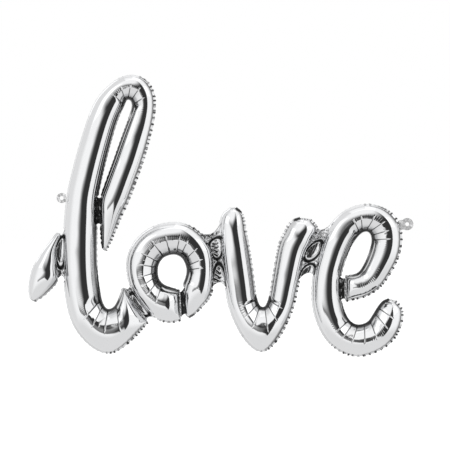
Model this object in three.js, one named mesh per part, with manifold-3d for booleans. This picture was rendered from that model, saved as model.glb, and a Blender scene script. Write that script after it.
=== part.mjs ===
// A silver foil balloon whose outline is a joined script word: l with a small foot stroke, o, v and e.
// Two film panels are welded together round the edge, and the letters fold against each other
// at flat welded webs. Millimetres, +Z up. The balloon lies in the plane y = 0, where front and
// rear film meet, and its front faces -Y.

import * as THREE from 'three';
import { LoftGeometry } from 'three/addons/geometries/LoftGeometry.js';
import { mergeVertices } from 'three/addons/utils/BufferGeometryUtils.js';
import Module from 'manifold-3d';

const wasm = await Module();
wasm.setup();

// Driving dimensions.
const FILM = 1.0; // wall of a panel as modelled, in place of a 0.04 mm film
const WELD = 0.8; // thickness of the welded margin, two films pressed together
const GAP = 0.3; // clearance between pieces that touch on the real balloon
const MARGIN = 4; // how far the welded margin stands out beyond the inflated tube
const FULLNESS = 0.96; // height of a tube's crown over half its width, up to the widest full tube
const WIDEST_TUBE = 62; // where a stroke is wider than this, its crown rises no higher
const FOLD_GAP = 0.4; // slit between the two halves of a folding web
const ARC_STEPS = 5; // facets across one panel, from edge to edge
const CROWN_START = 0.12; // share of the crown's height left at the very end of a stroke
const CUTTER = 6; // thickness of the flat solids that cut others

const HANG_TAB = { centre: [0, 0], radius: 9, eye: 3.5, root: [16, 1], width: 13 };
const FILL_TAB = { centre: [622, -47], radius: 11, eye: 3.5, root: [602, -50], width: 17 };
const VALVE = { start: [603, -50], end: [563, -58], width: 16, ply: 0.5 };

// Each stroke is a ladder of rungs across the tube, each rung [x, z] on the inner side of the bend
// and [x, z] on the outer side, in the order of the pen. Edges are smooth curves through the ends.
const STROKES = {
  l: {
    stations: 44,
    rungs: [
      [112, -164, 153, -223],
      [104, -186, 130, -249],
      [98, -197, 112, -265],
      [89, -203, 89, -278],
      [80, -203, 66, -273],
      [74, -197, 44, -256],
      [69, -186, 26, -233],
      [66, -170, 14, -202],
      [61, -123, 5, -130],
      [59, -46, 7, -42],
      [60, -4, 12, 3],
      [69, 39, 22, 50],
      [94, 129, 51, 146],
      [105, 158, 67, 179],
      [111, 172, 84, 198],
      [114, 179, 103, 213],
      [120, 181, 127, 220],
      [126, 179, 150, 212],
      [130, 172, 163, 192],
      [130, 161, 166, 166],
      [123, 142, 162, 133],
      [105, 94, 149, 80],
      [91, 52, 134, 37],
      [78, 19, 121, 1],
      [72, -8, 110, -22],
      [72, -32, 100, -44],
      [73, -57, 92, -65],
      [75, -90, 79, -93],
    ],
  },
  foot: {
    stations: 12,
    rungs: [
      [-49, -184, -54, -181],
      [-35, -176, -57, -167],
      [-20, -162, -56, -150],
      [-8, -147, -51, -130],
      [-6, -130, -44, -112],
      [-10, -112, -33, -97],
      [-12, -98, -22, -84],
      [-4, -67, -7, -65],
    ],
  },
  o: {
    stations: 28,
    rungs: [
      [211, -169, 213, -218],
      [199, -165, 194, -222],
      [183, -160, 167, -214],
      [172, -148, 140, -187],
      [169, -133, 121, -143],
      [171, -118, 122, -100],
      [180, -105, 146, -66],
      [193, -99, 179, -49],
      [206, -98, 217, -47],
      [219, -105, 248, -64],
      [226, -117, 269, -92],
      [229, -130, 273, -125],
      [226, -146, 271, -158],
      [221, -159, 263, -184],
      [220, -176, 249, -199],
      [225, -209, 229, -213],
    ],
  },
  v: {
    stations: 28,
    rungs: [
      [313, -20, 305, -20],
      [322, -27, 293, -29],
      [326, -37, 288, -39],
      [329, -58, 287, -60],
      [335, -86, 288, -91],
      [345, -156, 297, -163],
      [348, -182, 303, -195],
      [352, -193, 316, -228],
      [356, -198, 333, -256],
      [362, -200, 360, -277],
      [368, -198, 385, -257],
      [372, -192, 402, -228],
      [376, -181, 415, -196],
      [386, -119, 431, -125],
      [393, -84, 440, -94],
      [403, -58, 454, -71],
      [417, -42, 458, -53],
      [429, -38, 446, -40],
    ],
  },
  e: {
    stations: 38,
    rungs: [
      [512, -143, 512, -183],
      [535, -138, 547, -175],
      [544, -127, 572, -159],
      [552, -111, 590, -134],
      [559, -91, 605, -104],
      [562, -75, 610, -73],
      [559, -63, 605, -44],
      [552, -57, 582, -21],
      [544, -57, 548, -13],
      [536, -61, 514, -23],
      [526, -72, 490, -44],
      [516, -91, 474, -71],
      [508, -112, 464, -102],
      [501, -138, 456, -132],
      [500, -163, 453, -163],
      [502, -188, 454, -194],
      [508, -210, 463, -227],
      [517, -224, 480, -256],
      [528, -231, 505, -276],
      [541, -231, 536, -283],
      [554, -225, 568, -274],
      [563, -212, 594, -256],
      [571, -199, 610, -226],
      [579, -189, 611, -201],
      [589, -184, 600, -187],
    ],
  },
};

// Flat welded webs that a fold line divides: the outline, and the line's two ends.
const FOLDING_WEBS = [
  {
    sides: ['foot', 'l'],
    outline: [[2, -58], [12, -60], [12, -148], [2, -152], [-12, -145], [-14, -104], [-4, -72]],
    fold: [[0, -64], [0, -145]],
  },
  {
    sides: ['l', 'o'],
    outline: [[116, -166], [132, -164], [172, -212], [160, -226], [146, -219], [118, -176]],
    fold: [[122, -177], [156, -216]],
  },
  {
    sides: ['o', 'v'],
    outline: [[262, -66], [290, -62], [294, -120], [298, -158], [268, -152], [270, -98]],
    fold: [[277, -64], [287, -155]],
  },
  {
    sides: ['v', 'e'],
    outline: [[454, -66], [476, -70], [466, -104], [457, -134], [428, -142], [438, -92]],
    fold: [[463, -71], [444, -141]],
  },
];

// Welds that join a stroke to itself: the outline of each.
const FIXED_WELDS = {
  l_leg_weld: [[62, 2], [68, 4], [78, -8], [76, -56], [56, -56], [58, -20]],
  o_slit_weld: [[209, -166], [224, -166], [226, -206], [218, -216], [209, -214]],
  e_slit_weld: [[498, -140], [515, -140], [515, -182], [504, -190], [497, -182]],
};

const film = { color: 0xc9cdd2, roughness: 0.08, metalness: 1 };
const weldedFilm = { color: 0xb4b8be, roughness: 0.28, metalness: 1 };
const valveFilm = { color: 0xdfe2e4, roughness: 0.35, metalness: 0 };

// A named mesh with a material of its own.
function piece(name, geometry, finish) {
  const mesh = new THREE.Mesh(geometry, new THREE.MeshStandardMaterial(finish));
  mesh.name = name;
  return mesh;
}

// Matched points along the two edges of a stroke, as plane vectors with x and z in x and y.
function ladder({ rungs, stations }) {
  const edge = (first) => {
    const ends = rungs.map((rung) => new THREE.Vector3(rung[first], rung[first + 1], 0));
    return new THREE.CatmullRomCurve3(ends, false, 'centripetal').getPoints(stations);
  };
  const inner = edge(0);
  const outer = edge(2);
  return inner.map((point, i) => [point, outer[i]]);
}

// Share of the full crown height at each station: it falls off like a quarter circle at both ends.
function crownHeights(rungs) {
  const middles = rungs.map(([a, b]) => a.clone().add(b).multiplyScalar(0.5));
  const along = [0];
  for (let i = 1; i < middles.length; i++) {
    along.push(along[i - 1] + middles[i].distanceTo(middles[i - 1]));
  }
  const total = along[along.length - 1];
  return rungs.map(([a, b], i) => {
    const reach = 0.5 * a.distanceTo(b) + FILM;
    const nearEnd = Math.min(1, Math.min(along[i], total - along[i]) / reach);
    const share = Math.sqrt(nearEnd * (2 - nearEnd));
    return CROWN_START + (1 - CROWN_START) * share;
  });
}

// One film panel of a stroke: a thin arched wall lofted along the ladder. side is -1 at the front.
function panel(stroke, side) {
  const rungs = ladder(stroke);
  const heights = crownHeights(rungs);
  const base = WELD / 2 + GAP;
  const hand = Math.sign(THREE.ShapeUtils.area(outline(stroke)));
  const sections = rungs.map(([a, b], i) => {
    const half = 0.5 * a.distanceTo(b);
    const full = FULLNESS * Math.min(half, WIDEST_TUBE / 2);
    const crown = Math.max(heights[i] * full, 2 * FILM);
    const arc = (inset, from, to) => {
      const points = [];
      for (let k = 0; k <= ARC_STEPS; k++) {
        const angle = THREE.MathUtils.lerp(from, to, k / ARC_STEPS);
        const across = 0.5 - 0.5 * Math.cos(angle) * (1 - inset / half);
        const flat = a.clone().lerp(b, across);
        const rise = base + (crown - inset) * Math.sin(angle);
        points.push(new THREE.Vector3(flat.x, side * rise, flat.y));
      }
      return points;
    };
    const ring = [...arc(0, 0, Math.PI), ...arc(FILM, Math.PI, 0)];
    return side * hand > 0 ? ring : ring.reverse();
  });
  return new LoftGeometry(sections, { closed: true, capStart: true, capEnd: true });
}

// The closed outline of a stroke: up the inner edge and back down the outer one.
function outline(stroke) {
  const rungs = ladder(stroke);
  return [...rungs.map(([a]) => a), ...rungs.map(([, b]) => b).reverse()];
}

// The outline moved outwards by a distance, each point along the mean normal of its two sides.
function grown(points, distance) {
  const turn = THREE.ShapeUtils.area(points) > 0 ? 1 : -1;
  return points.map((point, i) => {
    const before = points[(i + points.length - 1) % points.length];
    const after = points[(i + 1) % points.length];
    const first = point.clone().sub(before).normalize();
    const second = after.clone().sub(point).normalize();
    const along = first.clone().add(second).normalize();
    const stretch = 1 / Math.max(0.5, along.dot(first));
    const normal = new THREE.Vector3(along.y, -along.x, 0).multiplyScalar(turn);
    return point.clone().addScaledVector(normal, distance * stretch);
  });
}

// A flat plate of a given thickness, centred on the seam plane, from a plane outline.
function plate(points, thickness, hole) {
  const shape = new THREE.Shape(points.map((point) => new THREE.Vector2(point.x, point.y)));
  if (hole) {
    const path = new THREE.Path();
    path.absarc(hole.x, hole.y, hole.radius, 0, 2 * Math.PI, true);
    shape.holes.push(path);
  }
  const geometry = new THREE.ExtrudeGeometry(shape, {
    depth: thickness,
    bevelEnabled: false,
    curveSegments: 12,
  });
  geometry.translate(0, 0, -thickness / 2);
  geometry.rotateX(Math.PI / 2);
  return geometry;
}

// Into a solid for joining and cutting, and back into a geometry.
function solid(geometry) {
  const bare = geometry.clone();
  bare.deleteAttribute('normal');
  bare.deleteAttribute('uv');
  const merged = mergeVertices(bare, 1e-4);
  return new wasm.Manifold(new wasm.Mesh({
    numProp: 3,
    vertProperties: Float32Array.from(merged.attributes.position.array),
    triVerts: Uint32Array.from(merged.index.array),
  }));
}

function geometryOf(body) {
  const mesh = body.getMesh();
  const geometry = new THREE.BufferGeometry();
  geometry.setAttribute('position', new THREE.BufferAttribute(mesh.vertProperties, 3));
  geometry.setIndex(new THREE.BufferAttribute(mesh.triVerts, 1));
  return geometry;
}

const plane = ([x, z]) => new THREE.Vector3(x, z, 0);

// The footprint of a stroke as a solid plate, grown or shrunk by a distance.
function footprint(name, distance, thickness) {
  return solid(plate(grown(outline(STROKES[name]), distance), thickness));
}

// A half plane as a plate: everything on one side of the line, less half the fold gap.
function halfPlane([start, end], side) {
  const from = plane(start);
  const along = plane(end).sub(from).normalize();
  const across = new THREE.Vector3(along.y, -along.x, 0).multiplyScalar(side);
  const near = from.clone().addScaledVector(across, FOLD_GAP / 2);
  const reach = 400;
  const corner = (s, t) => near.clone().addScaledVector(along, s * reach).addScaledVector(across, t);
  return solid(plate([corner(-1, 0), corner(1, 0), corner(1, reach), corner(-1, reach)], CUTTER));
}

// The welded margin round a stroke, with room left for the webs and welds that join on to it.
function margin(name) {
  const tube = footprint(name, 0, CUTTER);
  let band = footprint(name, MARGIN, WELD).subtract(footprint(name, -FILM, CUTTER));
  const webs = FOLDING_WEBS.filter((web) => web.sides.includes(name)).map((web) => web.outline);
  const welds = Object.keys(FIXED_WELDS).filter((weld) => weld.startsWith(`${name}_`));
  const cuts = [...webs, ...welds.map((weld) => FIXED_WELDS[weld])];
  for (const cut of cuts) {
    const room = solid(plate(grown(cut.map(plane), GAP), CUTTER));
    band = band.subtract(room.subtract(tube));
  }
  return band;
}

// One half of a folding web: the web on one side of its fold line, clear of the strokes it joins.
function webHalf(web, side) {
  let half = solid(plate(web.outline.map(plane), WELD)).intersect(halfPlane(web.fold, side));
  for (const name of web.sides) half = half.subtract(footprint(name, GAP, CUTTER));
  return half;
}

// A film tab: a round end with a punched eye, on a straight root that runs into the margin.
function tab({ centre, radius, eye, root, width }) {
  const middle = plane(centre);
  const along = plane(root).sub(middle);
  const heading = Math.atan2(along.y, along.x);
  const spread = Math.asin(width / 2 / radius);
  const shape = new THREE.Shape();
  shape.absarc(middle.x, middle.y, radius, heading + spread, heading - spread + 2 * Math.PI, false);
  const side = new THREE.Vector3(-along.y, along.x, 0).normalize().multiplyScalar(width / 2);
  const ends = [plane(root).sub(side), plane(root).add(side)];
  for (const end of ends) shape.lineTo(end.x, end.y);
  return plate(shape.getPoints(10).map((p) => new THREE.Vector3(p.x, p.y, 0)), WELD, {
    x: middle.x,
    y: middle.y,
    radius: eye,
  });
}

// One ply of the valve: a strip of film inside the tube, just off the seam plane.
function valvePly({ start, end, width, ply }, side) {
  const from = plane(start);
  const to = plane(end);
  const across = to.clone().sub(from).normalize();
  const offset = new THREE.Vector3(-across.y, across.x, 0).multiplyScalar(width / 2);
  const corners = [from.clone().sub(offset), to.clone().sub(offset)];
  corners.push(to.clone().add(offset), from.clone().add(offset));
  const geometry = plate(corners, ply);
  return geometry.translate(0, side * (ply / 2 + GAP / 2), 0);
}

const balloon = new THREE.Group();

for (const [name, stroke] of Object.entries(STROKES)) {
  balloon.add(piece(`${name}_front_panel`, panel(stroke, -1), film));
  balloon.add(piece(`${name}_rear_panel`, panel(stroke, 1), film));
}

const bands = {};
for (const name of Object.keys(STROKES)) bands[name] = margin(name);

for (const web of FOLDING_WEBS) {
  const [first, second] = web.sides;
  const halves = [webHalf(web, 1), webHalf(web, -1)];
  balloon.add(piece(`${first}_${second}_web_${first}_side`, geometryOf(halves[0]), weldedFilm));
  balloon.add(piece(`${first}_${second}_web_${second}_side`, geometryOf(halves[1]), weldedFilm));
}

for (const [name, corners] of Object.entries(FIXED_WELDS)) {
  const letter = name.split('_')[0];
  const weld = solid(plate(corners.map(plane), WELD)).subtract(footprint(letter, GAP, CUTTER));
  balloon.add(piece(name, geometryOf(weld), weldedFilm));
}

const hangTab = solid(tab(HANG_TAB)).subtract(footprint('l', MARGIN + GAP, CUTTER));
const fillTab = solid(tab(FILL_TAB)).subtract(footprint('e', MARGIN + GAP, CUTTER));
balloon.add(piece('hang_tab', geometryOf(hangTab), weldedFilm));
balloon.add(piece('fill_tab', geometryOf(fillTab), weldedFilm));

for (const [name, side] of [['valve_front_ply', -1], ['valve_rear_ply', 1]]) {
  const ply = solid(valvePly(VALVE, side)).intersect(footprint('e', -FILM - GAP, CUTTER));
  balloon.add(piece(name, geometryOf(ply), valveFilm));
}

for (const name of Object.keys(STROKES)) {
  balloon.add(piece(`${name}_margin`, geometryOf(bands[name]), weldedFilm));
}

// The origin is the middle of the balloon's box, in the seam plane.
const middle = new THREE.Box3().setFromObject(balloon).getCenter(new THREE.Vector3());
balloon.position.set(-middle.x, 0, -middle.z);

export default balloon;
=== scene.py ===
# %% [markdown]
# A foil balloon in joined script: l with a small foot stroke, o, v and e
#
# The real balloon is two sheets of metallised film, welded together round the edge of a word.
# Filled with air, each stroke of the pen turns into a tube. Where a stroke bends, the film on the
# inner side is too long for its new place, so it folds into wedges with sharp creases between them.
# Here every film is a surface worked out with numpy: a function of the place along the stroke
# and the angle round the tube. The frame from the CAD says where everything goes.

# %% Load the frame
import math

import bpy
import numpy as np
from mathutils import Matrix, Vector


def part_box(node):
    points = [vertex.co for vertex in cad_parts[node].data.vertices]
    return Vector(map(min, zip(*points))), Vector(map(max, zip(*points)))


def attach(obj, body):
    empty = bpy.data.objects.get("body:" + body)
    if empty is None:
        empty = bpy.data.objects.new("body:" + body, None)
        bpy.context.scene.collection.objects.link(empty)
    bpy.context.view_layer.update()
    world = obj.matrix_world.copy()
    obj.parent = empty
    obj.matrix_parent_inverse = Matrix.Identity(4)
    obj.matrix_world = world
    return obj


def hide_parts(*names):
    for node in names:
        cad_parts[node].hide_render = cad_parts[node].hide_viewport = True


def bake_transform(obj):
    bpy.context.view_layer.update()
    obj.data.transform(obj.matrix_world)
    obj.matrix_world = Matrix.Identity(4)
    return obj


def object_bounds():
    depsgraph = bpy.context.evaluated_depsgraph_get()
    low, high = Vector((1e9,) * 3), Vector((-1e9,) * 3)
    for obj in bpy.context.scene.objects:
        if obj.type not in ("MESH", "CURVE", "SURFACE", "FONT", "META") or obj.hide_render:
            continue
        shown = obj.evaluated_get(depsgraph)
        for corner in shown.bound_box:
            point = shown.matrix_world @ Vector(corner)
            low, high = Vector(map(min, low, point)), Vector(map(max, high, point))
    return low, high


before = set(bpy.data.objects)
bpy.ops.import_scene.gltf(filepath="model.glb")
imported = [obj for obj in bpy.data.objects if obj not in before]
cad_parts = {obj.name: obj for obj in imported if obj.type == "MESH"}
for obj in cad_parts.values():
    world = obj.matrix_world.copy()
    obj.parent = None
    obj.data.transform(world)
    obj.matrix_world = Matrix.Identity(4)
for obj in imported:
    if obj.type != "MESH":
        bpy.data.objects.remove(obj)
cad_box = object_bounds()
MM = 0.001

# %% [markdown]
# The strokes
#
# A stroke could be a curve with a width. In script the tube is wider outside a bend than inside, and
# the two welded edges are what the shape is cut to, so each stroke is a ladder instead: a list of
# rungs across the tube, in millimetres, from its inner edge to its outer edge. The zero point
# of the list is the punched eye of the hang tab, and the frame says where that eye is.

# %% Rungs of each stroke, as x, z on the inner edge and x, z on the outer edge
HANG_RADIUS = 9
hang_low, hang_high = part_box("hang_tab")
EYE = np.array([hang_low[0] + HANG_RADIUS * MM, 0.0, hang_high[2] - HANG_RADIUS * MM])

STROKES = {
    "l": [
        [112, -164, 153, -223], [104, -186, 130, -249], [98, -197, 112, -265],
        [89, -203, 89, -278], [80, -203, 66, -273], [74, -197, 44, -256],
        [69, -186, 26, -233], [66, -170, 14, -202], [61, -123, 5, -130],
        [61, -46, 7, -42], [62, -4, 12, 3], [70, 39, 22, 50],
        [94, 129, 51, 146], [105, 158, 67, 179], [111, 172, 84, 198],
        [114, 179, 103, 213], [120, 181, 127, 220], [126, 179, 150, 212],
        [130, 172, 163, 192], [130, 161, 166, 166], [123, 142, 162, 133],
        [105, 94, 149, 80], [91, 52, 134, 37], [77, 19, 121, 1],
        [70.5, -8, 110, -22], [70.5, -32, 100, -44], [72, -57, 92, -65],
        [75, -90, 79, -93],
    ],
    "foot": [
        [-49, -184, -54, -181], [-35, -176, -57, -167], [-20, -162, -56, -150],
        [-8, -147, -51, -130], [-6, -130, -44, -112], [-10, -112, -33, -97],
        [-12, -98, -22, -84], [-4, -67, -7, -65],
    ],
    "o": [
        [211, -169, 213, -218], [199, -165, 194, -222], [183, -160, 167, -214],
        [172, -148, 140, -187], [169, -133, 121, -143], [171, -118, 122, -100],
        [180, -105, 146, -66], [193, -99, 179, -49], [206, -98, 217, -47],
        [219, -105, 248, -64], [226, -117, 269, -92], [229, -130, 273, -125],
        [226, -146, 271, -158], [221, -159, 263, -184], [220, -176, 249, -199],
        [225, -209, 229, -213],
    ],
    "v": [
        [313, -20, 305, -20], [322, -27, 293, -29], [326, -37, 288, -39], [329, -58, 287, -60],
        [335, -86, 288, -91], [345, -156, 297, -163], [348, -182, 303, -195],
        [352, -193, 316, -228], [356, -198, 333, -256], [362, -200, 360, -277],
        [368, -198, 385, -257], [372, -192, 402, -228], [376, -181, 415, -196],
        [386, -119, 431, -125], [393, -84, 440, -94], [403, -58, 454, -71],
        [417, -42, 458, -53], [429, -38, 446, -40],
    ],
    "e": [
        [512, -143, 512, -183], [535, -138, 547, -175], [544, -127, 572, -159],
        [552, -111, 590, -134], [559, -91, 605, -104], [562, -75, 610, -73],
        [559, -63, 605, -44], [552, -57, 582, -21], [544, -57, 548, -13],
        [536, -61, 514, -23], [526, -72, 490, -44], [516, -91, 474, -71],
        [508, -112, 464, -102], [501, -138, 456, -132], [500, -163, 453, -163],
        [502, -188, 454, -194], [508, -210, 463, -227], [517, -224, 480, -256],
        [528, -231, 505, -276], [541, -231, 536, -283], [554, -225, 568, -274],
        [563, -212, 594, -256], [571, -199, 610, -226], [579, -189, 611, -201],
        [589, -184, 600, -187],
    ],
}
BODY = {"l": "letter_l", "foot": "foot_stroke", "o": "letter_o", "v": "letter_v", "e": "letter_e"}
print({name: len(rungs) for name, rungs in STROKES.items()}, "rungs; eye at", EYE)

# %% [markdown]
# Where strokes are joined
#
# Two strokes are joined by a web of flat welded film, or parted by a slit weld where one comes back
# to itself. Both run between two welded edges: edge a is a stroke's inner edge, b its outer edge and
# end its first rung, each from one point to another. A web also has a middle point on the fold line,
# which the CAD joint turns about, and places: the start, end and width of each oval it buckles into.

# %% Webs and slit welds
WEBS = {
    "foot_l_web": dict(
        first=("foot", "a", (-4, -67), (-8, -148)), second=("l", "b", (7, -55), (7, -150)),
        fold=(0, -104), places=[(0.02, 0.80, 1.25)], crest=3, chevrons=False,
    ),
    "l_o_web": dict(
        first=("l", "end", (112, -164), (153, -223)), second=("o", "b", (122, -158), (172, -217)),
        fold=(139, -197), places=[(0.12, 0.95, 1.25)], crest=4, chevrons=False,
    ),
    "o_v_web": dict(
        first=("o", "b", (262, -78), (270, -160)), second=("v", "b", (287, -64), (297, -162)),
        fold=(282, -109), places=[(-0.03, 0.46, 1.25), (0.49, 1.2, 1.2)], crest=14, chevrons=True,
    ),
    "v_e_web": dict(
        first=("v", "b", (452, -66), (427, -148)), second=("e", "b", (482, -56), (454, -140)),
        fold=(453, -106), places=[(0.17, 0.67, 1.15), (0.70, 1.15, 1.15)], crest=12, chevrons=False,
    ),
}
SLITS = {
    "l_leg_weld": (("l", "a", (62, 4), (61, -50)), ("l", "a", (72, 4), (71, -50))),
    "o_slit_weld": (("o", "end", (211, -169), (213, -218)), ("o", "a", (221, -159), (226, -213))),
    "e_slit_weld": (("e", "a", (501, -140), (502, -186)), ("e", "end", (512, -143), (512, -183))),
}
print(len(WEBS), "webs and", len(SLITS), "slit welds")

# %% [markdown]
# The camera and the studio
#
# The balloon is seen square on through a long lens, so its strokes keep their outlines. Mirror film has
# no look of its own: it shows the room. The room here is a world shader that is white all round,
# with a dark zone at the camera's side, soft on its left and sharp on its right, like the unlit end
# of a studio. Every tube picks it up as one dark stripe along its crown.

# %% Camera
CAMERA_DISTANCE = 4.0
VIEW_WIDTH = 810 * MM
SENSOR_WIDTH = 36.0
AIM = np.array([8.1 * MM, 0.0, -17.1 * MM])

camera_data = bpy.data.cameras.new("camera")
camera_data.sensor_width = SENSOR_WIDTH
camera_data.lens = SENSOR_WIDTH * CAMERA_DISTANCE / VIEW_WIDTH
camera = bpy.data.objects.new("camera", camera_data)
bpy.context.scene.collection.objects.link(camera)
camera.location = AIM + np.array([0.0, -CAMERA_DISTANCE, 0.0])
camera.rotation_euler = (math.radians(90), 0, 0)
bpy.context.scene.camera = camera
bpy.context.scene.view_settings.view_transform = "Standard"
print("lens", round(camera_data.lens), "mm")


# %% World: a white room with a dark end
def math_node(tree, kind, *inputs):
    """One Math node; numbers go into its sockets, sockets are linked."""
    node = tree.nodes.new("ShaderNodeMath")
    node.operation = kind
    for i, value in enumerate(inputs):
        if isinstance(value, (int, float)):
            node.inputs[i].default_value = value
        else:
            tree.links.new(value, node.inputs[i])
    return node.outputs[0]


def ramp(tree, value, start, end):
    """0 before start, 1 after end and a smooth step between; start may lie after end."""
    node = tree.nodes.new("ShaderNodeMapRange")
    node.interpolation_type = "SMOOTHSTEP"
    tree.links.new(value, node.inputs["Value"])
    node.inputs["From Min"].default_value = start
    node.inputs["From Max"].default_value = end
    return node.outputs["Result"]


WHITE_ROOM = 1.0
DARK_END = 0.035
DEG = math.pi / 180
SLANT = 5.7
SPREAD = 2.2
LEVEL_OUT = 7 * DEG
LOWER_TILT, UPPER_TILT = 0.65, -0.8
# Each edge of the dark end goes from light to dark between two angles, in degrees.
LEFT, RIGHT, LOWER, UPPER = (-36, 10), (48, 43), (-14, -9), (46, 10)

world = bpy.data.worlds.new("studio")
bpy.context.scene.world = world
world.use_nodes = True
tree = world.node_tree
tree.nodes.clear()
direction = tree.nodes.new("ShaderNodeTexCoord").outputs["Generated"]
split = tree.nodes.new("ShaderNodeSeparateXYZ")
tree.links.new(direction, split.inputs[0])
depth = math_node(tree, "MULTIPLY", split.outputs["Y"], -1.0)
bearing = math_node(tree, "ARCTAN2", split.outputs["X"], depth)
height = math_node(tree, "ARCSINE", split.outputs["Z"])
leftward = math_node(tree, "MINIMUM", bearing, 0.0)
rightward = math_node(tree, "MAXIMUM", bearing, 0.0)
sunk = math_node(tree, "MINIMUM", height, 0.0)

# The dark end: soft on its left, sharp on its right and along its lower edge. Its left edge slants
# up to a level and spreads outwards above it.
below = math_node(tree, "MINIMUM", height, LEVEL_OUT)
slant = math_node(tree, "MULTIPLY", math_node(tree, "MULTIPLY", leftward, below), SLANT)
raised = math_node(tree, "MAXIMUM", math_node(tree, "SUBTRACT", height, LEVEL_OUT), 0.0)
left_edge = math_node(tree, "MULTIPLY_ADD", raised, SPREAD, math_node(tree, "ADD", bearing, slant))
right_edge = math_node(tree, "SQRT", math_node(
    tree, "ADD", math_node(tree, "MULTIPLY", bearing, bearing), math_node(tree, "MULTIPLY", sunk, sunk)
))
lower_edge = math_node(tree, "MULTIPLY_ADD", rightward, LOWER_TILT, height)
upper_edge = math_node(tree, "MULTIPLY_ADD", rightward, UPPER_TILT, height)
zone = ramp(tree, left_edge, LEFT[0] * DEG, LEFT[1] * DEG)
for edge, (light, dark) in ((right_edge, RIGHT), (lower_edge, LOWER), (upper_edge, UPPER)):
    zone = math_node(tree, "MULTIPLY", zone, ramp(tree, edge, light * DEG, dark * DEG))

# A darker wall at the right and back, a pale grey one at the left, and a grey floor.
side = math_node(tree, "MULTIPLY", ramp(tree, bearing, 90 * DEG, 140 * DEG), 0.88)
side = math_node(tree, "MULTIPLY", side, ramp(tree, bearing, 178 * DEG, 165 * DEG))
side = math_node(tree, "MULTIPLY", side, ramp(tree, height, 60 * DEG, 30 * DEG))
side = math_node(tree, "MULTIPLY", side, ramp(tree, height, -58 * DEG, -22 * DEG))
flank = math_node(tree, "MULTIPLY", ramp(tree, bearing, -55 * DEG, -95 * DEG), 0.22)
ground = math_node(tree, "MULTIPLY", ramp(tree, height, -10 * DEG, -34 * DEG), 0.24)
dark = zone
for other in (side, flank, ground):
    dark = math_node(tree, "MAXIMUM", dark, other)
level = math_node(tree, "MULTIPLY_ADD", dark, DARK_END - WHITE_ROOM, WHITE_ROOM)
seen = tree.nodes.new("ShaderNodeLightPath").outputs["Is Camera Ray"]
level = math_node(tree, "MAXIMUM", level, seen)
background = tree.nodes.new("ShaderNodeBackground")
background.inputs["Color"].default_value = (1, 1, 1, 1)
tree.links.new(level, background.inputs["Strength"])
output = tree.nodes.new("ShaderNodeOutputWorld")
tree.links.new(background.outputs[0], output.inputs["Surface"])


# %% Floor and soft lights
def shader(name, **values):
    """A Principled material with constant values set straight on its sockets."""
    material = bpy.data.materials.new(name)
    material.use_nodes = True
    principled = material.node_tree.nodes["Principled BSDF"]
    for socket, value in values.items():
        principled.inputs[socket.replace("_", " ")].default_value = value
    return material


def new_object(name, mesh, material=None):
    """An object at the origin that holds the mesh."""
    made = bpy.data.objects.new(name, mesh)
    bpy.context.scene.collection.objects.link(made)
    if material is not None:
        mesh.materials.append(material)
    return made


FLOOR_DROP = 60 * MM
FLOOR_REACH = 30.0
floor_height = cad_box[0][2] - FLOOR_DROP
floor_mesh = bpy.data.meshes.new("floor")
corners = [(-FLOOR_REACH, -FLOOR_REACH), (FLOOR_REACH, -FLOOR_REACH)]
corners += [(FLOOR_REACH, FLOOR_REACH), (-FLOOR_REACH, FLOOR_REACH)]
floor_mesh.from_pydata([(x, y, floor_height) for x, y in corners], [], [(0, 1, 2, 3)])
pale = shader(
    "pale_floor",
    Base_Color=(0.95, 0.95, 0.95, 1),
    Roughness=0.9,
    Emission_Color=(1, 1, 1, 1),
    Emission_Strength=0.4,
)
floor = new_object("floor", floor_mesh, pale)
floor.visible_glossy = False

SOFTBOXES = {
    "softbox_left": ((-2.6, -1.6, 2.2), 2.0, 4),
    "softbox_right": ((2.8, -1.2, 1.8), 1.6, 3),
    "softbox_top": ((0.0, 0.6, 3.2), 2.4, 4),
}
for name, (place, size, power) in SOFTBOXES.items():
    light = bpy.data.lights.new(name, "AREA")
    light.size = size
    light.energy = power
    lamp = bpy.data.objects.new(name, light)
    bpy.context.scene.collection.objects.link(lamp)
    lamp.location = place
    aim = np.array(place) / np.linalg.norm(place)
    lamp.rotation_euler = (math.acos(aim[2]), 0, math.atan2(aim[1], aim[0]) + math.pi / 2)
print("floor at", round(floor_height, 3), "m")


# %% [markdown]
# From rungs to a smooth ladder
#
# Rungs as listed are a little uneven, and a mirror shows every unevenness as a wobble in
# its stripes. So the edges are first drawn as smooth curves through the rungs' ends, then walked in
# even steps, and the middle line and the half width are each smoothed over a few millimetres.

# %% Curves through the rungs
def catmull(points, count):
    """Centripetal Catmull-Rom curve: each span blends its two end points by their neighbours, with knots
    spaced by the square root of the distances; count points per span, as one array."""
    ends = [2 * points[0] - points[1]], [2 * points[-1] - points[-2]]
    p = np.concatenate([ends[0], points, ends[1]])
    gap = np.sqrt(np.maximum(np.linalg.norm(np.diff(p, axis=0), axis=1), 1e-9))
    step = np.linspace(0, 1, count, endpoint=False)[:, None, None]
    p0, p1, p2, p3 = p[:-3], p[1:-2], p[2:-1], p[3:]
    g0, g1, g2 = gap[:-2, None], gap[1:-1, None], gap[2:, None]
    start = (p1 - p0) / g0 - (p2 - p0) / (g0 + g1) + (p2 - p1) / g1
    finish = (p2 - p1) / g1 - (p3 - p1) / (g1 + g2) + (p3 - p2) / g2
    start, finish = start * g1, finish * g1
    cubic = 2 * p1 - 2 * p2 + start + finish
    square = -3 * p1 + 3 * p2 - 2 * start - finish
    spans = ((cubic * step + square) * step + start) * step + p1
    return np.concatenate([spans.transpose(1, 0, 2).reshape(-1, 2), points[-1:]])


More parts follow.
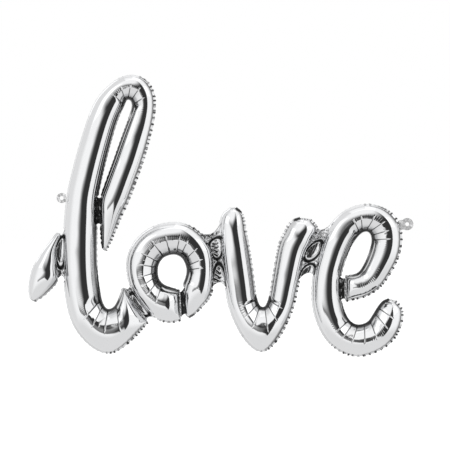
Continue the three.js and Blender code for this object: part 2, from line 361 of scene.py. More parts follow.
def smooth(values, reach):
    """Gaussian mean over neighbours, reach steps wide; ends are mirrored through their end point."""
    if reach <= 0:
        return values
    width = int(3 * reach) + 1
    near = np.arange(-width, width + 1)
    weight = np.exp(-0.5 * (near / reach) ** 2)
    weight /= weight.sum()
    before = 2 * values[:1] - values[width:0:-1]
    after = 2 * values[-1:] - values[-2:-width - 2:-1]
    longer = np.concatenate([before, values, after])
    columns = [np.convolve(longer[:, i], weight, "valid") for i in range(values.shape[1])]
    return np.stack(columns, axis=1)


def lengths(points):
    """Distance walked along a line of points, starting at 0."""
    return np.concatenate([[0], np.cumsum(np.linalg.norm(np.diff(points, axis=0), axis=1))])


def resample(at, walked, values):
    """Values at new places along the walk, column by column."""
    return np.stack([np.interp(at, walked, values[:, i]) for i in range(values.shape[1])], axis=1)


STEP = 1.0
POINTS_PER_SPAN = 16
SMOOTH_AT_ENDS = 2.5
SMOOTH_IN_BENDS = 6.0
SMOOTH_WHEN_STRAIGHT = 24.0


def ladder(rungs):
    """Middle line, half rung and distance along the stroke, in millimetres, at even steps."""
    ends = np.array(rungs, float)
    inner, outer = (catmull(part, POINTS_PER_SPAN) for part in (ends[:, :2], ends[:, 2:]))
    middle, half = (inner + outer) / 2, (outer - inner) / 2
    walked = lengths(middle)
    at = np.linspace(0, walked[-1], int(walked[-1] / STEP) + 1)
    middle, half = resample(at, walked, middle), resample(at, walked, half)
    lines = np.concatenate([middle, half], axis=1)
    place = np.minimum(at, walked[-1] - at)[:, None]
    fine, coarse = smooth(lines, SMOOTH_IN_BENDS), smooth(lines, SMOOTH_WHEN_STRAIGHT)
    fine += (smooth(lines, SMOOTH_AT_ENDS) - fine) * np.clip((20 - place) / 12, 0, 1)
    drift = np.linalg.norm(smooth(fine[:, :2] - coarse[:, :2], 12.0), axis=1, keepdims=True)
    straight = np.clip(1.6 - drift / 0.5, 0, 1)
    straight = straight * np.clip((place - 10) / 30, 0, 1)
    straight = smooth(straight * straight * (3 - 2 * straight), 8.0)
    lines = fine + (coarse - fine) * straight
    return lines[:, :2], lines[:, 2:], lengths(lines[:, :2])


ladders = {name: ladder(rungs) for name, rungs in STROKES.items()}
print({name: round(line[2][-1]) for name, line in ladders.items()}, "mm along each stroke")

# %% [markdown]
# Where the film folds
#
# The bend of a tube is its half width over the radius of its middle line. On a straight stretch
# it is 0 and the film stays smooth. On the inner side of a bend the film is too long and gathers into
# wedges about three quarters of a half width long. They are placed by walking along
# the bend, with a seeded random spread so that no two are alike.

# %% Bend and creases
WEDGE = 0.78
LEAST_BEND = 0.36
FREE_END = 4.0
SEARCH_STEP = 3.0


def bend(middle, half):
    """Half width over radius, from how much longer the outer edge is than the inner one; with sign."""
    inner = np.gradient(middle - half, axis=0)
    outer = np.gradient(middle + half, axis=0)
    along = np.gradient(middle, axis=0)
    along /= np.linalg.norm(along, axis=1)[:, None]
    a, b = (inner * along).sum(axis=1), (outer * along).sum(axis=1)
    return smooth(np.clip((b - a) / (b + a), -0.95, 0.95)[:, None], 5.0)[:, 0]


def creases(walked, width, turn, seed):
    """Places along the stroke where a crease runs, and a random number from 0 to 1 for each."""
    chance = np.random.default_rng(seed)
    marks, place = [], FREE_END
    while place < walked[-1] - FREE_END:
        here = np.interp(place, walked, np.abs(turn))
        if here > LEAST_BEND:
            marks.append(place)
            place += WEDGE * np.interp(place, walked, width) * chance.uniform(0.72, 1.28)
        else:
            place += SEARCH_STEP
    return np.array(marks), chance.uniform(0, 1, len(marks))


# %% [markdown]
# One film over one stroke
#
# A tube of two welded sheets is round, so each film is half a circle across, from one welded edge
# to the other. At the ends of a stroke the circle sinks to the seam like the end of a sausage.
# Inside a bend the film pulls into flat facets, so there the circle is cut towards a chord.

# %% Rows of a stroke
ACROSS = 56
FULLNESS = 0.96
WIDEST = 62.0
ROW_STRAIGHT = 1.8
ROW_IN_BEND = 1.1
FACET_START = 14
FLATTENING = 0.75


def rise(x, low, high):
    """Smooth step: 0 below low, 1 above high."""
    t = np.clip((x - low) / (high - low), 0, 1)
    return t * t * (3 - 2 * t)


def band(x, low, high, soft):
    """1 between low and high, with smooth steps of width soft outside them."""
    return rise(x, low - soft, low) * (1 - rise(x, high, high + soft))


def waves(walked, length, seed, spread=0.3):
    """Phase of a wave train whose wave length wanders by the given share."""
    chance = np.random.default_rng(seed)
    knots = np.arange(0, walked[-1] + 40, 12.0)
    local = length * chance.uniform(1 - spread, 1 + spread, len(knots))
    return np.cumsum(2 * np.pi / np.interp(walked, knots, local) * np.gradient(walked))


def stations(walked, marks, turn):
    """Where the surface gets its rows: wider apart when straight, closer in bends and at creases."""
    rows, place = [0.0], 0.0
    while place < walked[-1]:
        bent = min(1, abs(np.interp(place, walked, turn)) / 0.12)
        place += ROW_STRAIGHT - (ROW_STRAIGHT - ROW_IN_BEND) * bent
        rows.append(min(place, walked[-1]))
    near = [marks + offset for offset in (-1.2, -0.6, -0.25, 0, 0.25, 0.6, 1.2)]
    ends = [0.15, 0.5, 1.0, 1.8, 2.8, 4.0]
    rows += ends + [walked[-1] - e for e in ends]
    every = np.sort(np.concatenate([rows, *near]))
    every = every[(every >= 0) & (every <= walked[-1])]
    every = every[np.concatenate([[True], np.diff(every) > 0.12])]
    every[-1] = walked[-1]
    return every


def facet_end(width):
    """Angle round the tube, in degrees, at which the facets end; a wide tube keeps more of its round."""
    return (84 - 16 * rise(width, 33, 38))[:, None]


def section(at, total, width, tall, bent, inner):
    """Crown height per row and the share of the radius that is left at each angle: 1 on a round
    tube, less where a facet is drawn towards its chord, from its start to its end."""
    nearest = np.clip(np.minimum(at / (width[0] + 1), (total - at) / (width[-1] + 1)), 0, 1)
    crown = FULLNESS * tall * np.sqrt(nearest * (2 - nearest))
    end = facet_end(width)
    middle, reach = np.radians(end + FACET_START) / 2, np.radians(end - FACET_START) / 2
    chord = np.cos(reach) / np.cos(np.clip(inner - middle, -reach, reach))
    return crown, 1 - FLATTENING * rise(bent, 0.28, 0.4) * (1 - chord)


# %% [markdown]
# Facets, creases, gathers and ribs
#
# Between two creases the film is nearly flat, and each facet leans its own way, so each one mirrors
# another part of the room. A crease is a narrow notch. Close to the inner seam the film gathers in
# fine pleats, and at the crown of a narrow tube each fold dies out in short ribs. Deep folds trap
# light. A mirror with few bounces can't show that, so the shade in creases and pleats is painted: a
# mask of it is kept as an attribute of the points called "painted_shade", and it darkens the film's
# colour.

# %% Folds on the inner side of a bend
def folds(at, marks, luck, width, turn, inner, seed):
    """Push outwards in mm, and painted shade from 0 to 1 in creases and pleats, as arrays rows x angles.
    """
    bent = np.abs(turn)[:, None]
    degree = np.degrees(inner)
    local = 1 - bent * np.cos(inner)
    push, painted_shade = np.zeros_like(local), np.zeros_like(local)
    strong = rise(bent, 0.28, 0.38)
    if len(marks) > 1:
        chance = np.random.default_rng(seed + 40)
        index = np.clip(np.searchsorted(marks, at) - 1, 0, len(marks) - 2)
        wedge = marks[index + 1] - marks[index]
        t = np.clip((at - marks[index]) / wedge, 0, 1)[:, None]
        near = np.where(t[:, 0] < 0.5, index, index + 1)
        off = np.abs(at - marks[near])[:, None] * local
        end = facet_end(width) + 6 * (luck[near] - 0.5)[:, None]
        span = np.minimum(wedge, 1.6 * width)[:, None] * local
        fold = strong * rise(degree, 0, 14) * (1 - rise(degree, end - 5, end + 3))
        lean = np.interp(at, marks, chance.uniform(-0.07, 0.07, len(marks)))[:, None]
        push += fold * span * (0.05 * t * (1 - t) + lean)
        longer = strong * rise(degree, 0, 14) * (1 - rise(degree, end, end + 24))
        push -= longer * span * 0.07 * np.exp(-off / 0.45)
        # Painted shade along each crease.
        painted_shade += fold * np.exp(-(off / 0.75) ** 2)
    pleat = np.sin(waves(at, 3.6, seed + 6, 0.4))[:, None]
    close = strong * (1 - rise(degree, 14, 26))
    push += 0.45 * close * rise(degree, 0, 8) * pleat
    # Painted shade over the pleats next to the inner seam of a bend.
    painted_shade += close * (0.9 + 0.1 * pleat)

    rib_zone = rise(bent, 0.2, 0.32) * (1 - rise(width, 30, 34))[:, None] * band(degree, 80, 98, 14)
    patch = 0.5 + 0.3 * np.sin(waves(at, 23, seed + 2)) + 0.3 * np.sin(waves(at, 71, seed + 9))
    patch = np.clip(patch, 0, 1)[:, None]
    push += 0.17 * rib_zone * patch * np.sin(waves(at, 3.1, seed + 1))[:, None]
    return push, np.clip(painted_shade, 0, 1)


# %% [markdown]
# Seams and margins
#
# The tube pulls its seams in, so the film next to them puckers and the flat margin outside them
# crumples into small beads. The crumpling differs round the outline: it is strong near the ends of a
# stroke and where the outer edge faces right or down, and faint on the left and at the top. The
# margins and the film by the seams are darkened with painted shade that follows the crumpling, and
# margins on the inner side of a tight bend are painted dark all along.

# %% Puckers and margins
MARGIN = 3.2
MARGIN_STEPS = 4
BEAD_LENGTH = 9.0
SMALL_BEAD_LENGTH = 5.3


def edge_normal(line, towards):
    """Unit normal of a line of points, turned to the side that towards points to."""
    run = smooth(np.gradient(line, axis=0), 3.0)
    run /= np.maximum(np.linalg.norm(run, axis=1), 1e-9)[:, None]
    normal = np.stack([run[:, 1], -run[:, 0]], axis=1)
    return normal * np.sign((normal * towards).sum(axis=1))[:, None]


def crumple(edge, trip, normal, more, seed):
    """How crumpled a margin is and how much painted shade it gets between its beads, both from 0 to 1.
    An inner edge is darkened with painted shade all along and is crumpled near the ends of its stroke.
    More adds to an inner edge's crumpling everywhere, and to an outer edge's where it faces right or
    down."""
    slow = np.sin(waves(trip, 83, seed + 7)) + np.sin(waves(trip, 37, seed + 8, 0.5))
    if edge == "a":
        rough = np.clip(more + np.exp(-np.minimum(trip, trip[-1] - trip) / 30), 0, 1)
        return np.clip(0.1 + 0.05 * slow + rough, 0, 1), 0.95 - 0.75 * rough
    right_or_down = np.clip(1 + normal[:, 0] - normal[:, 1], 0, 1)
    facing = 0.6 * normal[:, 0] - 0.12 * normal[:, 1] + 0.2 + more * right_or_down
    return rise(facing + 0.2 * slow, 0.0, 0.7), 0.1 * np.ones(len(trip))


def joined(name, edge, line):
    """1 where the edge runs along a web or a slit weld, 0 where it is free, with short steps between."""
    mask = np.zeros(len(line))
    pairs = [(web["first"], web["second"]) for web in WEBS.values()] + list(SLITS.values())
    for stroke, which, *ends in (part for pair in pairs for part in pair):
        if (stroke, which) == (name, edge):
            first, last = sorted(np.argmin(np.linalg.norm(line - np.array(p), axis=1)) for p in ends)
            walk = lengths(line)
            mask = np.maximum(mask, band(walk, walk[first] + 3, walk[last] - 3, 5))
    return mask


def seam(edge, line, tight, welded, towards, x, more, seed):
    """Push and painted shade next to one seam, and the margin: place, lift and painted shade. The margin
    is wider where the bend is tight, and nearly gone where a web or a slit weld takes its place. It
    lifts a little as it goes outwards, and an inner margin's painted shade fades on the way."""
    trip = lengths(line)
    normal = edge_normal(line, towards)
    amount, shade_between_beads = crumple(edge, trip, normal, more, seed)
    loose = 1 - 0.97 * tight
    wave = 0.7 * np.sin(waves(trip, BEAD_LENGTH, seed, 0.4))
    wave += 0.5 * amount * np.sin(waves(trip, SMALL_BEAD_LENGTH, seed + 5, 0.5))
    bead = rise(wave, 0.0, 0.5)
    degree = np.degrees(x)

    pucker = np.exp(-degree / 9) * rise(degree, 0, 6)
    push = 1.4 * pucker * (loose * (0.1 + 0.9 * amount) * (wave - 0.3))[:, None]
    # Painted shade: on the beads and between them as the crumpling says, full along a tight bend, halved
    # along a weld; it reaches a little onto the tube.
    dark = loose * np.maximum(shade_between_beads, amount * (0.05 + 0.95 * bead))
    dark = np.maximum(dark, tight) * (1 - 0.5 * welded)
    reach = 24 if edge == "a" else 14
    painted_shade = (1 - rise(degree, reach - 12, reach)) * dark[:, None]
    # A faint painted shade over the tube's inner side next to an inner edge.
    if edge == "a":
        painted_shade = np.maximum(painted_shade, 0.18 * (1 - rise(degree, 30, 60)))

    t = np.linspace(0, 1, MARGIN_STEPS + 1)[1:]
    wide = MARGIN * (1 + 0.3 * tight) + loose * (0.5 + 0.9 * amount) * 0.9 * wave
    wide = wide * (1 - 0.85 * welded)
    place = line[:, None, :] + (wide[:, None] * t)[..., None] * normal[:, None, :]
    lift = (loose * (0.25 + 0.75 * amount) * 0.9 * wave)[:, None] * t ** 1.3
    lift = lift + (loose * 0.55 * MARGIN)[:, None] * t
    fade = 0.7 if edge == "a" else 0.0
    return push, painted_shade, place, lift, dark[:, None] * (1 - fade * t)


# %% [markdown]
# The whole film
#
# The film is the base, plus its folds and puckers pushed along the round section's outward direction,
# plus a margin on each side and past both ends. It goes into an array rows x columns x 3.

# %% Film surface
FILM = 0.15
HALF_GAP = 0.16
# How much more than usual each stroke is crumpled, and so how much painted shade its margins get: along
# its inner edge, along its outer edge.
CRUMPLED = {"l": (0, 0), "foot": (0, -0.3), "o": (0, 0.05), "v": (0.7, 0.1), "e": (0.1, 0.35)}


def film(name, side, number):
    """The film of one stroke in metres, with its painted shade; side is -1 at the front and 1 at the
    rear.
    Both films have the same seams and margins, as they are welded together there."""
    middle, half, walked = ladders[name]
    width = np.linalg.norm(half, axis=1)
    tall = smooth(np.minimum(width, WIDEST / 2)[:, None], 14.0)[:, 0]
    turn = bend(middle, half)
    seed = 11 * number + (3 if side > 0 else 0)
    marks, luck = creases(walked, width, turn, seed)
    at = stations(walked, marks, turn)
    middle, half = resample(at, walked, middle), resample(at, walked, half)
    width, tall, turn = (np.interp(at, walked, values) for values in (width, tall, turn))
    x = np.linspace(0, np.pi, ACROSS + 1)[None, :]
    inner = np.where((turn < 0)[:, None], np.pi - x, x)

    crown, share = section(at, walked[-1], width, tall, np.abs(turn)[:, None], inner)
    flat = middle[:, None, :] - (np.cos(x) * share)[..., None] * half[:, None, :]
    bulge = crown[:, None] * np.sin(x) * share
    push, painted_shade = folds(at, marks, luck, width, turn, inner, seed)
    push += 0.2 * np.sin(waves(at, 61, seed + 3))[:, None] * np.sin(x + 0.4) * np.sin(x)

    out = half / np.maximum(width, 1e-6)[:, None]
    sides = {}
    for edge, sign, angle in (("a", -1, x), ("b", 1, np.pi - x)):
        tight = rise(-sign * turn, 0.08, 0.3)
        line = middle + sign * half
        welded = joined(name, edge, line)
        more = CRUMPLED[name][int(sign > 0)]
        made = seam(edge, line, tight, welded, sign * out, angle, more, 11 * number + 20 + 10 * sign)
        push, painted_shade = push + made[0], np.maximum(painted_shade, made[1])
        sides[edge] = made[2:]
    flat = flat - (np.cos(x) * push)[..., None] * out[:, None, :]
    bulge = np.maximum(bulge + push * np.sin(x), 0)

    (place_a, lift_a, dark_a), (place_b, lift_b, dark_b) = sides["a"], sides["b"]
    place = np.concatenate([place_a[:, ::-1], flat, place_b], axis=1)
    bulge = np.concatenate([0 * lift_a, bulge, 0 * lift_b], axis=1)
    lift = np.concatenate([lift_a[:, ::-1], 0 * flat[..., 0], lift_b], axis=1)
    painted_shade = np.concatenate([dark_a[:, ::-1], painted_shade, dark_b], axis=1)

    # Margins past both ends of the stroke, rounded towards the corners.
    t = np.linspace(0, 1, MARGIN_STEPS + 1)[1:, None]
    across = np.linspace(0, 1, place.shape[1])[None, :]
    depth = MARGIN * 0.9 * t * (0.2 + 0.8 * np.sqrt(np.sin(np.pi * across)))
    caps = []
    for row, inward in ((0, 3), (-1, -4)):
        away = np.array([out[row, 1], -out[row, 0]])
        away *= np.sign(away @ (middle[row] - middle[inward]))
        wave = 0.6 * np.sin(34 * across + seed) * t
        caps.append((place[row] + depth[..., None] * away, wave + lift[row] * (1 - t)))
    place = np.concatenate([caps[0][0][::-1], place, caps[1][0]])
    lift = np.concatenate([caps[0][1][::-1], lift, caps[1][1]])
    bulge = np.pad(bulge, ((MARGIN_STEPS, MARGIN_STEPS), (0, 0)))
    painted_shade = np.pad(painted_shade, ((MARGIN_STEPS, MARGIN_STEPS), (0, 0)), mode="edge")

    points = np.empty(place.shape[:2] + (3,))
    points[..., 0] = EYE[0] + place[..., 0] * MM
    points[..., 1] = (side * (bulge + HALF_GAP) + lift) * MM
    points[..., 2] = EYE[2] + place[..., 1] * MM
    return points, np.clip(painted_shade, 0, 1)


# %% [markdown]
# From numbers to meshes
#
# The arrays go into meshes with foreach_set, which copies a whole array at once, and the painted shade
# goes beside them as an attribute of the points. Solidify then gives the film its thickness, so that
# each film is a closed thin shell.

# %% Mesh from a grid
def grid_mesh(name, points, painted_shade, flip, wrap=False):
    """A mesh of quads over an array rows x columns x 3; flip turns the faces round, and wrap joins the
    last row to the first."""
    rows, columns = points.shape[:2]
    corner = np.arange(rows * columns).reshape(rows, columns)
    if wrap:
        corner = np.concatenate([corner, corner[:1]])
    quads = [corner[:-1, :-1], corner[:-1, 1:], corner[1:, 1:], corner[1:, :-1]]
    quads = np.stack(quads[::-1] if flip else quads, axis=-1).reshape(-1, 4)
    mesh = bpy.data.meshes.new(name)
    mesh.vertices.add(rows * columns)
    mesh.vertices.foreach_set("co", points.astype(np.float32).ravel())
    mesh.loops.add(quads.size)
    mesh.loops.foreach_set("vertex_index", quads.astype(np.int32).ravel())
    mesh.polygons.add(len(quads))
    mesh.polygons.foreach_set("loop_start", np.arange(0, quads.size, 4, dtype=np.int32))
    mesh.polygons.foreach_set("use_smooth", np.ones(len(quads), bool))
    mesh.update(calc_edges=True)
    # The painted shade goes on the points as an attribute.
    layer = mesh.attributes.new("painted_shade", "FLOAT", "POINT")
    layer.data.foreach_set("value", painted_shade.astype(np.float32).ravel())
    return mesh


def faces_away(points, side):
    """True if a grid's own quads face away from the given side along y."""
    row, column = points.shape[0] // 2, points.shape[1] // 2
    a, b, c = points[row, column], points[row, column + 1], points[row + 1, column]
    return np.cross(b - a, c - a)[1] * side > 0


# %% [markdown]
# The films' finish
#
# Metallised film is a mirror with a very small roughness. Two effects lie on it, and every film on
# the balloon shares them: painted shade in folds and margins darkens and dulls it, and stretched film
# has a faint skin of tiny wrinkles. Each effect is a node group, with its own inputs, so it is built
# only once.

# %% Shared effects as node groups
def effect(name, inputs, outputs):
    """An empty shader node group with float or colour sockets."""
    group = bpy.data.node_groups.new(name, "ShaderNodeTree")
    for label, kind in inputs.items():
        group.interface.new_socket(label, in_out="INPUT", socket_type=kind)
    for label, kind in outputs.items():
        group.interface.new_socket(label, in_out="OUTPUT", socket_type=kind)
    return group, group.nodes.new("NodeGroupInput"), group.nodes.new("NodeGroupOutput")


def painted_shade_film():
    """Colour and roughness: unshaded colour times 1 minus depth times the painted shade, so the painted
    shade darkens it; rougher where it is shaded.
    """
    number, colour = "NodeSocketFloat", "NodeSocketColor"
    group, given, made = effect(
        "painted_shade_film",
        {"Colour": colour, "PaintedShade": number, "Depth": number, "Polish": number},
        {"Colour": colour, "Roughness": number},
    )
    place = group.nodes.new("ShaderNodeTexCoord").outputs["Object"]
    mottle = group.nodes.new("ShaderNodeTexNoise")
    mottle.inputs["Scale"].default_value = 35.0
    mottle.inputs["Detail"].default_value = 2.0
    group.links.new(place, mottle.inputs["Vector"])
    # The painted shade, scaled by depth, darkens the colour.
    deep = math_node(group, "MULTIPLY", given.outputs["PaintedShade"], given.outputs["Depth"])
    unshaded = math_node(group, "SUBTRACT", 1.0, deep)
    uneven = math_node(group, "MULTIPLY_ADD", mottle.outputs["Fac"], 0.04, 0.98)
    shade = math_node(group, "MULTIPLY", unshaded, uneven)
    mixed = group.nodes.new("ShaderNodeVectorMath")
    mixed.operation = "SCALE"
    group.links.new(given.outputs["Colour"], mixed.inputs[0])
    group.links.new(shade, mixed.inputs["Scale"])
    group.links.new(mixed.outputs[0], made.inputs["Colour"])
    dull = math_node(group, "MULTIPLY_ADD", given.outputs["PaintedShade"], 0.22, given.outputs["Polish"])
    smear = math_node(group, "MULTIPLY_ADD", mottle.outputs["Fac"], 0.04, -0.02)
    group.links.new(math_node(group, "ADD", dull, smear), made.inputs["Roughness"])
    return group


def film_skin():
    """Height: fine noise plus a stretched coarser one, as tiny wrinkles."""
    number = "NodeSocketFloat"
    group, given, made = effect("film_skin", {"Fine": number, "Coarse": number}, {"Height": number})
    place = group.nodes.new("ShaderNodeTexCoord").outputs["Object"]
    total = None
    for label, detail, share in (("Fine", 2.0, 0.4), ("Coarse", 3.0, 0.6)):
        noise = group.nodes.new("ShaderNodeTexNoise")
        noise.inputs["Detail"].default_value = detail
        group.links.new(place, noise.inputs["Vector"])
        group.links.new(given.outputs[label], noise.inputs["Scale"])
        part = math_node(group, "MULTIPLY", noise.outputs["Fac"], share)
        total = part if total is None else math_node(group, "ADD", total, part)
    group.links.new(total, made.inputs["Height"])
    return group


PAINTED_SHADE_GROUP, SKIN = painted_shade_film(), film_skin()


# %% Film materials
WRINKLE_DEPTH = 0.4 * MM


def film_material(name, colour, polish, depth, fine, coarse, strength, **values):
    """A metallised film: both shared effects around a Principled shader."""
    material = shader(name, **values)
    tree = material.node_tree
    principled = tree.nodes["Principled BSDF"]
    # The points' painted shade darkens and dulls the film.
    painted_shade = tree.nodes.new("ShaderNodeAttribute")
    painted_shade.attribute_name = "painted_shade"
    finish = tree.nodes.new("ShaderNodeGroup")
    finish.node_tree = PAINTED_SHADE_GROUP
    finish.inputs["Colour"].default_value = colour
    finish.inputs["Depth"].default_value = depth
    finish.inputs["Polish"].default_value = polish
    tree.links.new(painted_shade.outputs["Fac"], finish.inputs["PaintedShade"])
    tree.links.new(finish.outputs["Colour"], principled.inputs["Base Color"])
    tree.links.new(finish.outputs["Roughness"], principled.inputs["Roughness"])
    skin = tree.nodes.new("ShaderNodeGroup")
    skin.node_tree = SKIN
    skin.inputs["Fine"].default_value = fine
    skin.inputs["Coarse"].default_value = coarse
    relief = tree.nodes.new("ShaderNodeBump")
    relief.inputs["Strength"].default_value = strength
    relief.inputs["Distance"].default_value = WRINKLE_DEPTH
    tree.links.new(skin.outputs["Height"], relief.inputs["Height"])
    tree.links.new(relief.outputs["Normal"], principled.inputs["Normal"])
    return material


SILVER = (0.90, 0.905, 0.915, 1)
PALE_SILVER = (0.93, 0.93, 0.935, 1)
MILKY = (0.82, 0.83, 0.85, 1)
mirror_film = film_material(
    "mirror_film", SILVER, polish=0.055, depth=0.97, fine=700, coarse=90, strength=0.10, Metallic=1.0
)
welded_film = film_material(
    "welded_film", SILVER, polish=0.13, depth=0.97, fine=900, coarse=260, strength=0.35, Metallic=1.0
)
tab_film = film_material(
    "tab_film", PALE_SILVER, polish=0.3, depth=0.8, fine=900, coarse=220, strength=0.5,
    Metallic=0.55,
)
valve_film = film_material(
    "valve_film", MILKY, polish=0.25, depth=0.5, fine=600, coarse=150, strength=0.4,
    Coat_Weight=0.3,
)

# %% The ten films
total = 0
for number, (name, body) in enumerate(BODY.items()):
    for side, word in ((-1, "front"), (1, "rear")):
        points, painted_shade = film(name, side, number)
        mesh = grid_mesh(f"{name}_{word}_film", points, painted_shade, faces_away(points, side))
        piece = new_object(f"{name}_{word}_film", mesh, mirror_film)
        thick = piece.modifiers.new("film", "SOLIDIFY")
        thick.thickness = FILM * MM
        thick.offset = -1
        nodes = [f"{name}_{word}_panel"] + ([f"{name}_margin"] if side < 0 else [])
        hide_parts(*nodes)
        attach(piece, body)
        total += len(mesh.polygons)
print("films:", total, "quads")

# %% [markdown]
# Welded webs
#
# Between two letters the films are welded flat to each other, and the tubes on both sides crush
# this flat film. It buckles into long ovals: a deep fold all round, a raised middle with one more
# fold in it, and fainter copies of the oval outside. The web is a surface stretched between the two
# welded edges, with the ovals laid on it.

# %% Film between two edges
EDGE_STEPS = 70


def ridges(u, v, size, seed, trains=7):
    """Mean of sharp-crested waves, 1 minus twice the absolute sine, in seeded random directions."""
    chance = np.random.default_rng(seed)
    total = np.zeros_like(u)
    for _ in range(trains):
        angle, shift = chance.uniform(0, np.pi), chance.uniform(0, 6)
        length = size * chance.uniform(0.7, 1.6)
        total += 1 - 2 * np.abs(np.sin((u * np.cos(angle) + v * np.sin(angle)) / length * np.pi + shift))
    return total / math.sqrt(trains)


def edge_line(name, edge, start, stop):
    """Part of a stroke's welded edge from near one point to near another; 'end' is its first rung."""
    middle, half, _ = ladders[name]
    if edge == "end":
        line = np.linspace(middle[0] - half[0], middle[0] + half[0], 80)
    else:
        line = middle - half if edge == "a" else middle + half
    first, last = (int(np.argmin(np.linalg.norm(line - np.array(p), axis=1))) for p in (start, stop))
    line = line[min(first, last):max(first, last) + 1]
    line = line if first < last else line[::-1]
    walk = lengths(line)
    return resample(np.linspace(0, walk[-1], EDGE_STEPS), walk, line)


def stretched(first, second, count, crest, dip):
    """Flat grid from one edge to the other, in mm. Crest rows stand past the start of the edges, and
    both free ends curve inwards by dip rows half way across."""
    a, b = edge_line(*first), edge_line(*second)
    rows = np.arange(-crest, len(a), dtype=float)
    inside = np.clip(rows, 0, len(a) - 1)
    walk = np.arange(len(a))
    a = resample(inside, walk, a) + (rows - inside)[:, None] * (a[1] - a[0])
    b = resample(inside, walk, b) + (rows - inside)[:, None] * (b[1] - b[0])
    t = np.linspace(0, 1, count)[None, :, None]
    flat = a[:, None] * (1 - t) + b[:, None] * t
    along = np.linspace(1, -1, len(rows))[:, None, None] ** 3
    return flat + dip * 4 * t * (1 - t) * along * np.gradient(flat, axis=0)


def ovals(s, t, places, chevrons):
    """Lift and painted shade of the buckled ovals; the shade is painted into the rim fold, the faint
    outer fold and the fold inside. Each place is (start, end, width) along the web, and e is the
    oval's own radius, 1 on its rim. The fold inside is one line, or a column of chevrons."""
    lift, painted_shade = np.zeros_like(s), np.zeros_like(s)
    for start, end, wide in places:
        u = (s - start) / (end - start)
        e = np.sqrt((2 * u - 1) ** 2 + ((t - 0.5) / (0.5 * wide)) ** 2)
        rim = band(e, 0.80, 1.0, 0.10)
        halo = 0.55 * band(e, 1.24, 1.28, 0.05)
        middle = 0.54 + 0.06 * np.sin(5 * u)
        line = (1 - rise(np.abs(t - middle), 0.03, 0.09)) * band(u, 0.2, 0.62, 0.08)
        if chevrons:
            phase = (6.5 * u + 2.4 * np.abs(t - middle)) % 1
            line = band(phase, 0.1, 0.5, 0.1) * (1 - rise(t - middle, 0.06, 0.14))
        line = line * (1 - rise(e, 0.62, 0.76))
        lift += 1.5 * (1 - rise(e, 0.55, 0.9)) - 1.0 * rim - 0.6 * halo - 0.9 * line
        # Painted shade in the rim, the outer fold and the fold inside.
        painted_shade = np.maximum(painted_shade, np.maximum(np.maximum(rim, halo), line))
    return lift, painted_shade


def film_sheet(name, flat, lift, painted_shade, material, nodes, wrap=False):
    """A thin closed film from a flat grid in mm and its lift, standing for CAD nodes."""
    points = np.stack([EYE[0] + flat[..., 0] * MM, -lift * MM, EYE[2] + flat[..., 1] * MM], axis=-1)
    mesh = grid_mesh(name, points, np.clip(painted_shade, 0, 1), faces_away(points, -1), wrap)
    sheet = new_object(name, mesh, material)
    thick = sheet.modifiers.new("film", "SOLIDIFY")
    thick.thickness = 2 * FILM * MM
    thick.offset = 0
    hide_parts(*nodes)
    return sheet


# %% Four webs
SAG = 0.15
WEB_COLUMNS = 36
BLEND_REACH = 3
for number, (name, web) in enumerate(WEBS.items()):
    flat = stretched(web["first"], web["second"], WEB_COLUMNS, web["crest"], dip=7)
    s = np.linspace(-web["crest"] / EDGE_STEPS, 1, len(flat))[:, None] * np.ones(WEB_COLUMNS)
    t = np.linspace(0, 1, WEB_COLUMNS)[None, :] * np.ones((len(flat), 1))
    lift, painted_shade = ovals(s, t, web["places"], web["chevrons"])
    fine = ridges(flat[..., 0], flat[..., 1], 7, seed=70 + number)
    above = 1 - rise(s, web["places"][0][0] - 0.04, web["places"][0][0] + 0.08)
    gap = np.linalg.norm(flat[:, -1] - flat[:, 0], axis=1)[:, None]
    sag = -SAG * np.sin(np.pi * t) * np.clip(gap, 0, 24)
    lift = sag + rise(np.minimum(t, 1 - t), -0.03, 0.12) * (lift + (0.15 + 0.6 * above) * fine)
    # Painted shade in the troughs of the crinkles above the first oval.
    painted_shade = np.maximum(painted_shade, above * 0.5 * rise(-fine, 0.1, 0.6))
    one, two = name.split("_")[:2]
    nodes = [f"{name}_{one}_side", f"{name}_{two}_side"]
    sheet = film_sheet(name, flat, lift, painted_shade, welded_film, nodes)
    across = flat[len(flat) // 2, -1] - flat[len(flat) // 2, 0]
    across /= np.linalg.norm(across)
    ends = [np.array(web["fold"]) + reach * across for reach in (-BLEND_REACH, BLEND_REACH)]
    ends = [(EYE[0] + p[0] * MM, 0, EYE[2] + p[1] * MM) for p in ends]
    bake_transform(sheet)

# %% [markdown]
# Slit welds
#
# Where a stroke comes back to itself, the two tubes are parted by a weld that is only a few
# millimetres wide. The tubes squeeze it into tight crinkles. Painted shade darkens them all over,
# except for a few bright flecks where a crest stands up.

# %% Three slit welds
WELD_COLUMNS = 18
for number, (name, (first, second)) in enumerate(SLITS.items()):
    flat = stretched(first, second, WELD_COLUMNS, crest=0, dip=5)
    fine = ridges(flat[..., 0], 0.3 * flat[..., 1], 4, seed=90 + number)
    # Painted shade: nearly black, lighter on the crests.
    dark = 0.97 - 0.85 * rise(fine, 0.15, 0.65)
    weld = film_sheet(name, flat, 1.1 * fine, dark, welded_film, [name])
    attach(weld, BODY[first[0]])

# %% [markdown]
# Tabs
#
# A tab is a small tongue of film with a punched eye, for a thread. Its outline is a circle that
# runs on into a neck, so it is a ring of rows: each row goes from the eye's rim outwards to the
# circle or to the neck's side, whichever is farther, and stops at the root by the seam. The hang
# tab's root stands a little short of the seam, so that the tab can fold without biting into the film.

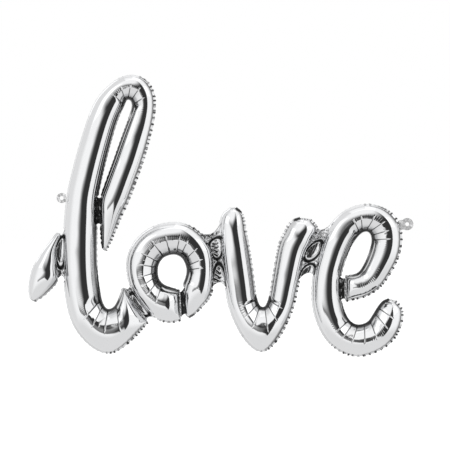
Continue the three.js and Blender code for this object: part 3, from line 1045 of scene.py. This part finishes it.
# %% Hang tab and filling tab
TABS = {
    "hang_tab": dict(centre=(0, 0), radius=9, heading=0.0, neck=13, play=1.2, body="hang_tab_film"),
    "fill_tab": dict(centre=(622, -47), radius=11, heading=math.pi + 0.15, neck=17, play=0,
                     body="fill_tab_film"),
}
EYE_RADIUS = 3.5
TAB_TURNS, TAB_RINGS = 120, 14
for number, (name, tab) in enumerate(TABS.items()):
    low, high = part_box(name)
    centre = EYE[0] + tab["centre"][0] * MM
    heads_right = tab["heading"] == 0
    root = ((high[0] - centre) if heads_right else (centre - low[0])) / MM - tab["play"]
    turn = np.linspace(0, 2 * np.pi, TAB_TURNS, endpoint=False)
    apart = np.angle(np.exp(1j * (turn - tab["heading"])))
    ahead = np.abs(apart) < math.pi / 2 - 0.05
    cosine, sine = np.cos(apart), np.maximum(np.abs(np.sin(apart)), 1e-3)
    to_root = root / np.where(ahead, cosine, 1)
    neck = np.minimum(to_root, tab["neck"] / 2 / sine)
    reach = np.where(ahead, np.minimum(np.maximum(neck, tab["radius"]), to_root), tab["radius"])
    t = np.linspace(0, 1, TAB_RINGS)[None, :]
    spread = EYE_RADIUS + (reach - EYE_RADIUS)[:, None] * t
    flat = np.stack([np.cos(turn)[:, None] * spread, np.sin(turn)[:, None] * spread], axis=-1)
    flat = flat + np.array(tab["centre"])
    wave = np.sin(3 * turn + number)[:, None] + 0.5 * np.sin(7 * turn + 2)[:, None]
    lift = 0.45 * wave * t + 0.5 * ridges(flat[..., 0], flat[..., 1], 6, seed=120 + number) * t * (1 - t)
    # Painted shade: along the outer rim, on the upper side of the eye, and in the wave troughs towards
    # the neck.
    upper = rise(np.sin(turn), 0.2, 0.9)[:, None]
    rim = 0.45 * rise(t, 0.86, 1.0) + 0.4 * (1 - rise(t, 0.02, 0.2)) * upper
    painted_shade = rim + 0.5 * rise(-wave * t, 0.5, 1.1) * rise(cosine, 0.2, 0.8)[:, None]
    sheet = film_sheet(name + "_sheet", flat, lift, painted_shade, tab_film, [name], wrap=True)
    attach(sheet, tab["body"])

# %% [markdown]
# The valve
#
# Two plies of clear film lie inside the e, behind the filling tab, and close on each other when the
# air presses on them. Their CAD plates have the right shape, so they stay and get their film.

# %% Valve plies
for name in ("valve_front_ply", "valve_rear_ply"):
    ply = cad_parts[name]
    if ply.material_slots:
        ply.material_slots[0].material = valve_film
    else:
        ply.data.materials.append(valve_film)
